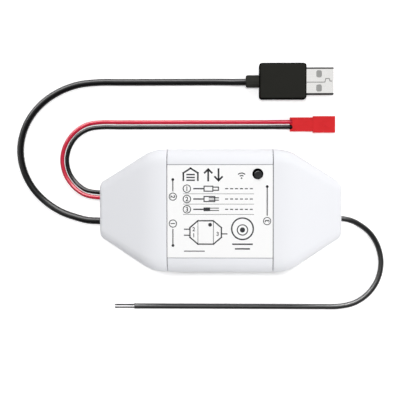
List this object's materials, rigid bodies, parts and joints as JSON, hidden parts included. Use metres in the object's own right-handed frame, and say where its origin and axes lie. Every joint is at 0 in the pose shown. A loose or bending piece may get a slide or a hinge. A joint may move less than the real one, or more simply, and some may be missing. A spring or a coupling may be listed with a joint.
{
  "type": "garage door controller",
  "caption": "White in-line box with tapered ends, a small face button, a USB power lead, a two-wire sensor lead with a red plug and a two-core signal cable that triggers a door opener.",
  "frame": {"origin": "middle of the flat back of the housing", "axes": "+Z out of the face with the button, +X along the housing towards the signal cable, +Y towards the side with the button"},
  "size_m": [0.1642, 0.1097, 0.026],
  "materials": {
    "white_abs": "fine satin moulding",
    "label_film": "smooth printed film",
    "smoke_plastic": "dark smoked plastic",
    "screw_steel": "zinc plated",
    "black_nylon": "matt black moulding",
    "board_laminate": "green solder mask",
    "module_laminate": "blue solder mask",
    "tin_sheet": "tinned sheet",
    "relay_case": "blue moulding",
    "plated_brass": "gold plated",
    "can_aluminium": "bare can",
    "led_lens": "clear lens",
    "header_nylon": "natural nylon",
    "black_pvc": "smooth black jacket",
    "red_pvc": "smooth red insulation",
    "plug_pvc": "matt black moulding",
    "usb_steel": "nickel plated sheet",
    "usb_white": "white insulator",
    "plug_red": "red nylon moulding",
    "tinned_copper": "tinned stranded copper"
  },
  "bodies": {
    "housing": {"base_shell": "white_abs", "centre_cover": "white_abs", "left_end_cover": "white_abs", "right_end_cover": "white_abs", "face_label": "label_film", "housing_screws": "screw_steel", "board_screws": "screw_steel", "switch_plate": "screw_steel", "switch_body": "black_nylon", "voltage_regulator": "black_nylon", "optocoupler": "black_nylon", "flyback_diode": "black_nylon", "chip_resistors": "black_nylon", "circuit_board": "board_laminate", "wireless_board": "module_laminate", "wireless_shield": "tin_sheet", "relay": "relay_case", "relay_pins": "plated_brass", "usb_contacts": "plated_brass", "sensor_plug_pins": "plated_brass", "capacitors": "can_aluminium", "status_led": "led_lens", "wire_headers": "header_nylon", "power_grip": "black_pvc", "sensor_grip": "black_pvc", "signal_grip": "black_pvc", "signal_leads": "black_pvc", "power_cord": "black_pvc", "sensor_wire_black": "black_pvc", "signal_cable": "black_pvc", "power_leads": "red_pvc", "sensor_leads": "red_pvc", "sensor_wire_red": "red_pvc", "usb_plug_body": "plug_pvc", "usb_shell": "usb_steel", "usb_insulator": "usb_white", "sensor_plug": "plug_red", "signal_conductors": "tinned_copper"},
    "button": {"button_cap": "smoke_plastic"},
    "plunger": {"switch_plunger": "black_nylon"}
  },
  "joints": [
    {"name": "button_press", "type": "slide", "parent": "housing", "child": "button", "axis": [0, 0, -1], "range_m": [0, 0.0003], "stiffness_N_per_m": 1500},
    {"name": "plunger_press", "type": "slide", "parent": "housing", "child": "plunger", "axis": [0, 0, -1], "range_m": [0, 0.0003]}
  ],
  "couplings": [
    {"joint": "plunger_press", "follows": "button_press", "ratio": 1}
  ]
}
